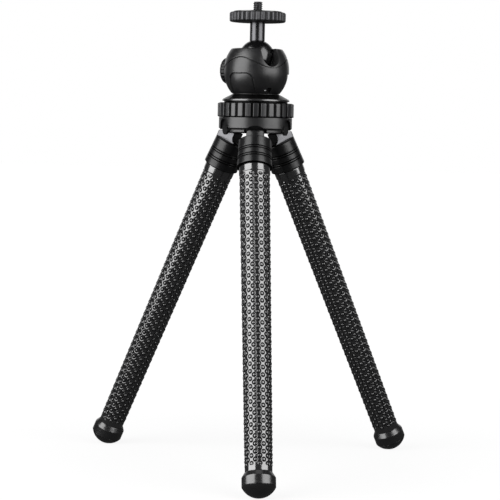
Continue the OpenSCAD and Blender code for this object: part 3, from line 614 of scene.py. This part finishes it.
def lock_ring():
    """A ring whose ribs are rounded boxes on its wall: with d the distance outside a rib's outline, the
    rib's height goes from full to none over about a third of a millimetre."""
    low, high = foot_of("lock_ring"), top_of("lock_ring")
    wall = ring_r - rib_h
    inner = 20.2
    corner = 0.7
    rib_margin = 0.25
    corners = [(inner, low), (wall, low), (wall, high), (inner, high)]
    profile = finer(rounded(corners, (0.5, 0.5)), 0.4)
    half_h = (high - low) / 2 - rib_margin

    def rib(turn, r, z):
        pitch = 2 * math.pi / rib_count
        across = np.abs((turn + pitch / 2) % pitch - pitch / 2) * ring_r
        along = np.abs(z - (low + high) / 2)
        past_side = np.maximum(across - rib_w / 2 + corner, 0)
        past_end = np.maximum(along - half_h + corner, 0)
        out = np.hypot(past_side, past_end) - corner
        return np.where(r > wall - 0.6, rib_h * (1 - smooth(-0.3, 0.05, out)), 0)

    angles = full_turn(rib_count * 24)
    grid = round_grid(profile, angles, rib)
    # the rib height, which the material turns into painted shade between the ribs
    height = np.hypot(grid[..., 0], grid[..., 1]) - wall
    made = piece("lock_ring_ribbed", framed(grid, *column_frame), ribbed, closed_rows=True,
                 attribute=np.clip(height / rib_h, 0, 1), sharp=75)
    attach(made, "ring")
    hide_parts("lock_ring")


def cone_collar():
    """The collar: a shadow gap, a low lip over it and a flat cone, turned, with small rounded edges."""
    low, high = foot_of("collar"), top_of("collar")
    under = lip_r - lip_under
    inner = 6
    lip_low = low + lip_gap
    lip_high = lip_low + lip_h
    corners = [(inner, low), (under, low), (under, lip_low), (lip_r, lip_low), (lip_r, lip_high),
               (base_r - 0.1, high), (inner, high)]
    profile = finer(rounded(corners, (0.2, 0.2, 0.25, 0.45, 0.4)), 0.4)
    grid = round_grid(profile, full_turn(160))
    # where the lip is: the material paints a highlight there and shade on the cone
    on_lip = smooth(lip_r - 0.7, lip_r - 0.3, profile[:, 0])
    made = piece("collar_turned", framed(grid, *column_frame), lipped, closed_rows=True,
                 attribute=np.broadcast_to(on_lip[:, None], grid.shape[:2]))
    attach(made, "base")
    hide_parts("collar")


def camera_disc():
    """The disc under the camera: a turned plate whose edge is scalloped, by a cosine of the flutes' number
    that is sharpened in its valleys and fades away from the rim."""
    flute_d = 0.75
    bore_r = stud_r + 0.06
    low, high = foot_of("lock_disc"), top_of("lock_disc")
    corners = [(bore_r, low), (disc_r, low), (disc_r, high), (bore_r, high)]
    profile = finer(rounded(corners, (1.3, 1.3), steps=8), 0.6)

    def flute(turn, r, z):
        valley = (0.5 - 0.5 * np.cos(disc_flutes * turn)) ** 1.6
        return -flute_d * valley * smooth(disc_r - 2.2, disc_r - 0.6, r)

    grid = round_grid(profile, full_turn(disc_flutes * 16), flute)
    # the flute depth, which the material turns into a painted highlight on the ribs and painted shade in the
    # flutes
    height = 1 - (disc_r - np.hypot(grid[..., 0], grid[..., 1])) / flute_d
    made = piece("camera_disc_fluted", framed(grid, *column_frame), anodised, closed_rows=True,
                 attribute=np.clip(height, 0, 1), sharp=60)
    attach(made, "disc")
    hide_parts("lock_disc")


def camera_screw():
    """The quarter-inch screw: its radius falls by the thread's depth as a triangle wave of height over pitch
    less the turn, and the thread runs out at the rounded tip and at the foot."""
    low, high = foot_of("camera_stud"), top_of("camera_stud")
    pitch, depth = 1.27, 0.62
    start = high - stud_len
    corners = [(axis_r, low), (stud_r - 0.3, low), (stud_r, start), (stud_r, high), (axis_r, high)]
    profile = finer(rounded(corners, (0.1, 0.1, 0.7)), 0.07)

    def thread(turn, r, z):
        wave = np.abs(((z - low) / pitch - turn / (2 * math.pi)) % 1 * 2 - 1)
        run = smooth(start - 0.4, start + 0.2, z) * (r > stud_r - 0.75)
        return -depth * run * np.clip(1.3 * wave - 0.15, 0, 1)

    grid = framed(round_grid(profile, full_turn(96), thread), *column_frame)
    made = piece("camera_screw_threaded", grid, blackened, sharp=75)
    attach(made, "stem")
    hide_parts("camera_stud")


def ball_stem():
    """The stem between ball and disc, turned, with a small foot fillet and a broken upper edge."""
    low, high = foot_of("stem"), top_of("stem")
    tail_r = 3.0
    neck = ball_z + math.sqrt(ball_r ** 2 - stem_r ** 2) + rest_gap
    corners = [(axis_r, low), (tail_r, low), (tail_r, neck), (stem_r, neck), (stem_r, high), (axis_r, high)]
    profile = finer(rounded(corners, (0.2, 0.2, 0.3, 0.4)), 0.8)
    grid = framed(round_grid(profile, full_turn(128)), *column_frame)
    made = piece("stem_turned", grid, polished)
    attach(made, "stem")
    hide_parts("stem")


def clamp_knob():
    """The clamp knob, turned about its own screw: a rounded outer edge, a dished face and fine flutes whose
    depth is a sharpened cosine round the rim."""
    bore_r, dish_r, dish_rim_r = 2.6, 5.5, 6.2
    dish_z = knob_t - 0.75
    flute_d = 0.3
    origin = hub_axis + clamp_z * UP + (knob_face + rest_gap) * knob_out
    corners = [(bore_r, 0.0), (knob_r, 0.0), (knob_r, knob_t), (dish_rim_r, knob_t), (dish_r, dish_z),
               (bore_r, dish_z)]
    profile = finer(rounded(corners, (0.4, 2.2, 0.25, 0.2), steps=9), 0.35)

    def flute(turn, r, z):
        valley = (0.5 + 0.5 * np.cos(knob_flutes * turn)) ** 3
        return -flute_d * valley * smooth(knob_r - 1.4, knob_r - 0.3, r)

    turned = round_grid(profile, full_turn(knob_flutes * 16), flute)
    grid = framed(turned, origin, knob_side, -UP, knob_out)
    made = piece("clamp_knob_fluted", grid, fine_satin, closed_rows=True, sharp=60)
    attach(made, "knob")
    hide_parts("lock_knob")


# Ball-head housing

seam_half = 0.28
edge_round = 0.75
lower_wall = 8.0
upper_wall = 7.5
tenon_inset = 0.95
tenon_rise = 0.1
base_edge = 0.3
seam_edge = 0.25
pit_d = 2.4
pit_rise = 2.3


def shell_r(z):
    """Radius of the housing's outside: a round below, a straight belt, a round above."""
    drop = np.maximum(low_z - z, 0) + np.maximum(z - high_z, 0)
    return np.sqrt(np.maximum(house_r ** 2 - drop ** 2, 1.0))


def seam_z(turn):
    """Height of the wavy seam: three waves round the housing, with a valley under the slot."""
    mid = high_z + (seam_high + seam_low) / 2
    return mid - (seam_high - seam_low) / 2 * np.cos(3 * (turn - slot_turn))


def on_shell(turn, z, inset=0.0):
    """Points of the housing at an angle and height, taken in by an inset, with the flat that the knob
    turns on."""
    r = shell_r(z) - inset
    points = np.stack([r * np.sin(turn), -r * np.cos(turn), np.broadcast_to(z, r.shape)], axis=-1)
    near = np.hypot(points @ knob_side, points[..., 2] - clamp_z)
    cut = np.maximum(points @ knob_out - knob_face, 0) * (near < knob_r + clear)
    return points - cut[..., None] * knob_out


def panel_depth(turn, z):
    """Depth of the recessed panels, one in each wave: with d the distance outside a tall box with round
    upper corners, the depth goes from full to none over a third of a millimetre, and a fine groove runs
    along its edge as a bell curve of d."""
    away = (turn - slot_turn - math.pi / 3) % (2 * math.pi / 3)
    away = np.minimum(away, 2 * math.pi / 3 - away)
    across = shell_r(z) * np.sin(away)
    up = z - house_z - panel_top + panel_round
    out = np.hypot(np.maximum(across - panel_w / 2 + panel_round, 0), np.maximum(up, 0)) - panel_round
    line = 0.3 * np.exp(-((out + 0.2) / 0.22) ** 2)
    return panel_d * (1 - smooth(-0.12, 0.22, out)) + line


def pit_depth(turn, z):
    """Depth of the small round hole under the slot: full inside its radius and none outside, with a soft
    edge."""
    away = np.hypot(shell_r(z) * (turn - slot_turn), z - house_z - pit_rise)
    return pit_d * (1 - smooth(grub_r - 0.2, grub_r + 0.1, away))


def lower_housing():
    """The lower half: its rows climb the outside from the base to just under the seam, roll in at both
    edges, step up into the upper half and come back down inside."""
    turn = full_turn(440)
    edge = seam_z(turn) - seam_half
    share = np.linspace(0, 1, 110)[:, None]
    z = house_z + base_edge + share * (edge - seam_edge - house_z - base_edge)
    angle = np.broadcast_to(turn, z.shape)
    outside = on_shell(angle, z, panel_depth(angle, z) + pit_depth(angle, z))
    base = np.full_like(turn, house_z)
    panel = panel_depth(turn, house_z + 0.5)
    under = [on_shell(turn, base, lower_wall), on_shell(turn, base, 0.7 + panel),
             on_shell(turn, base + 0.08, 0.25 + panel)]
    tenon = edge + 2 * seam_half + tenon_rise
    over = [on_shell(turn, edge - 0.07, 0.1), on_shell(turn, edge, 0.3), on_shell(turn, edge, 0.9),
            on_shell(turn, tenon, tenon_inset), on_shell(turn, tenon, lower_wall)]
    grid = framed(np.concatenate([np.stack(under), outside, np.stack(over)]), *column_frame)
    made = piece("housing_lower", grid, satin, closed_rows=True, sharp=55)
    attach(made, "head")
    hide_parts("housing_body")


def upper_housing():
    """The upper half: its columns follow its upper edge, along the rim and down round the drop slot. The rows
    climb from the seam to that edge, roll over it and run in to the ball's socket."""
    top_r = shell_r(np.array(rim_z))
    rise = rim_z - ball_z
    half_turn = math.asin(slot_r / top_r)
    on_rim = np.linspace(half_turn, 2 * math.pi - half_turn, 330, endpoint=False)
    deep = rise + math.pi * slot_r / 2
    way = np.linspace(-deep, deep, 140, endpoint=False)
    bend = np.clip(way / slot_r, -math.pi / 2, math.pi / 2)
    across = slot_r * np.sin(bend)
    climb = np.maximum(np.abs(way) - math.pi * slot_r / 2, 0)
    slot_z = ball_z - slot_r * np.cos(bend) + climb
    slot_angle = np.arcsin(across / shell_r(slot_z))
    edge_turn = slot_turn + np.concatenate([on_rim, 2 * math.pi + slot_angle])
    edge_z = np.concatenate([np.full_like(on_rim, rim_z), slot_z])
    seam_turn = slot_turn + np.concatenate([on_rim, 2 * math.pi + half_turn * way / deep])
    start_z = seam_z(seam_turn) + seam_half
    inner_r = math.sqrt(socket_r ** 2 - rise ** 2)
    half_in = math.asin(slot_r / inner_r)
    in_turn = slot_turn + half_in + (on_rim - half_turn) * (math.pi - half_in) / (math.pi - half_turn)
    rim_in = inner_r * np.stack([np.sin(in_turn), -np.cos(in_turn)], axis=1)
    reach = np.sqrt(socket_r ** 2 - across ** 2 - (slot_z - ball_z) ** 2)
    ahead = np.array([math.sin(slot_turn), -math.cos(slot_turn)])
    aside = np.array([math.cos(slot_turn), math.sin(slot_turn)])
    slot_in = reach[:, None] * ahead + across[:, None] * aside
    inner = np.concatenate([rim_in, slot_in])
    inner = np.concatenate([inner, edge_z[:, None]], axis=1)
    share = np.linspace(0, 1, 70)[:, None] ** 0.9
    angle = seam_turn + share * (edge_turn - seam_turn)
    height = start_z + 0.2 + share * (edge_z - start_z - 0.2)
    outside = on_shell(angle, height)
    brink = outside[-1]
    run_in = inner - brink
    run_in = run_in / np.linalg.norm(run_in, axis=1)[:, None]
    run_up = outside[-1] - outside[-4]
    run_up = run_up / np.linalg.norm(run_up, axis=1)[:, None]
    t = np.linspace(0, 1, 7)[:, None, None]
    back = brink - edge_round * run_up
    turned = bent(back, brink, brink + edge_round * run_in, t)
    kept = np.linalg.norm(outside - brink, axis=2) > edge_round
    rows = np.where(kept[..., None], outside, back)
    under = [on_shell(seam_turn, start_z, upper_wall), on_shell(seam_turn, start_z, 0.3),
             on_shell(seam_turn, start_z + 0.06, 0.08)]
    grid = framed(np.concatenate([np.stack(under), rows, turned, inner[None]]), *column_frame)
    made = piece("housing_upper", grid, satin, closed_rows=True, sharp=55)
    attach(made, "head")
    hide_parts("housing_cap")


lock_ring()
cone_collar()
camera_disc()
camera_screw()
ball_stem()
clamp_knob()
lower_housing()
upper_housing()


# Studio: pale floor, white background, a tall soft box at each side of the object and a weak top light

scene = bpy.context.scene
scene.view_settings.view_transform = "Standard"


def soft_box(name, place, aim, width, height, level):
    """A soft box that faces a point and isn't seen itself. Level is its brightness, which is its power over
    four times its area."""
    lamp = bpy.data.lights.new(name, "AREA")
    lamp.shape = "RECTANGLE"
    lamp.size = width
    lamp.size_y = height
    lamp.energy = 4 * level * width * height
    made = bpy.data.objects.new(name, lamp)
    made.location = place
    made.rotation_euler = (Vector(aim) - Vector(place)).to_track_quat("-Z", "Y").to_euler()
    made.visible_camera = False
    scene.collection.objects.link(made)


axis_y = hub_axis[1] * MM
side_x = 0.6
left_y, left_z = axis_y - 0.53, 0.72
right_y, right_z = axis_y - 0.65, 0.79
soft_box("left_box", (-side_x, left_y, left_z), (0, left_y, left_z), width=0.96, height=1.36, level=3.1)
soft_box("right_box", (side_x, right_y, right_z), (0, right_y, right_z), width=1.04, height=1.22, level=2.7)
soft_box("top_box", (0, axis_y + 0.1, 1.5), (0, axis_y, 0.2), width=0.8, height=0.6, level=0.35)


def studio_world():
    """White for the camera. Glossy and clear surfaces see the white backdrop that stands behind the object
    and a dim studio elsewhere, and everything gets a little even light."""
    dim, fill, white = 0.06, 0.2, 1.0
    world = bpy.data.worlds.new("studio")
    scene.world = world
    world.use_nodes = True
    tree = world.node_tree
    tree.nodes.clear()
    path = add(tree, "ShaderNodeLightPath").outputs
    toward = add(tree, "ShaderNodeTexCoord").outputs["Generated"]
    apart = add(tree, "ShaderNodeSeparateXYZ", {"Vector": toward})
    behind = add(tree, "ShaderNodeMapRange",
                 {"Value": apart.outputs["Y"], "From Min": 0.72, "From Max": 0.9})
    above = add(tree, "ShaderNodeMapRange",
                {"Value": apart.outputs["Z"], "From Min": -0.03, "From Max": 0.03})
    backdrop = add(tree, "ShaderNodeMath", {0: behind.outputs["Result"], 1: above.outputs["Result"]},
                   operation="MULTIPLY")
    shown_level = add(tree, "ShaderNodeMath", {0: backdrop.outputs["Value"], 1: dim}, operation="MAXIMUM")
    seen = add(tree, "ShaderNodeMath", {0: path["Is Glossy Ray"], 1: path["Is Transmission Ray"]},
               operation="MAXIMUM")
    level = add(tree, "ShaderNodeMix", {0: seen.outputs["Value"], 2: fill, 3: shown_level.outputs["Value"]})
    shown = add(tree, "ShaderNodeMix", {0: path["Is Camera Ray"], 2: level.outputs[0], 3: white})
    light = add(tree, "ShaderNodeBackground", {"Color": (1, 1, 1, 1), "Strength": shown.outputs[0]})
    add(tree, "ShaderNodeOutputWorld", {"Surface": light.outputs["Background"]})


def studio_floor():
    """A wide flat sheet. It is a board that keeps shadows, and what the camera sees is raised to white, a
    little less near the object, where the lamps light the board."""
    near, far = 0.1, 0.5
    near_level, far_level = 0.88, 1.0
    made, tree = new_material("pale_floor")
    path = add(tree, "ShaderNodeLightPath").outputs
    where = add(tree, "ShaderNodeTexCoord").outputs["Object"]
    away = add(tree, "ShaderNodeVectorMath", {0: where}, operation="LENGTH")
    level = add(tree, "ShaderNodeMapRange", {"Value": away.outputs["Value"], "From Min": near,
                                             "From Max": far, "To Min": near_level, "To Max": far_level})
    board = add(tree, "ShaderNodeBsdfDiffuse", {"Color": hex_rgb("#5c5c5c")})
    raised = add(tree, "ShaderNodeMath", {0: path["Is Camera Ray"], 1: level.outputs["Result"]},
                 operation="MULTIPLY")
    glow = add(tree, "ShaderNodeEmission", {"Color": (1, 1, 1, 1), "Strength": raised.outputs["Value"]})
    both = add(tree, "ShaderNodeAddShader", {0: board.outputs["BSDF"], 1: glow.outputs["Emission"]})
    add(tree, "ShaderNodeOutputMaterial", {"Surface": both.outputs["Shader"]})
    reach = 8.0
    mesh = bpy.data.meshes.new("floor")
    mesh.from_pydata([(-reach, -reach, 0), (reach, -reach, 0), (reach, reach, 0), (-reach, reach, 0)], [],
                     [(0, 1, 2, 3)])
    mesh.materials.append(made)
    floor = bpy.data.objects.new("floor", mesh)
    floor.visible_glossy = False
    floor.visible_shadow = False
    scene.collection.objects.link(floor)


studio_world()
studio_floor()


# The camera, fitted to the photograph, in millimetres
sensor_width = 36.0
focal_length = 123.68
camera_aside = -1.85
camera_away = 1173.1
camera_rise = 230.9
aim_rise = 146.15
camera_roll = math.radians(1.23)


def photo_camera():
    """The camera that matches the photograph: a long lens a little above the hub, slightly rolled."""
    lens = bpy.data.cameras.new("camera")
    lens.sensor_width = sensor_width
    lens.lens = focal_length
    made = bpy.data.objects.new("camera", lens)
    place = Vector((camera_aside, hub_axis[1] - camera_away, camera_rise)) * MM
    aim = Vector((camera_aside, hub_axis[1], aim_rise)) * MM
    turn = (aim - place).to_track_quat("-Z", "Y").to_matrix()
    roll = Matrix.Rotation(camera_roll, 3, "Z")
    made.matrix_world = Matrix.Translation(place) @ (turn @ roll).to_4x4()
    lens.clip_start = 0.01
    lens.clip_end = 50.0
    scene.collection.objects.link(made)
    scene.camera = made


photo_camera()
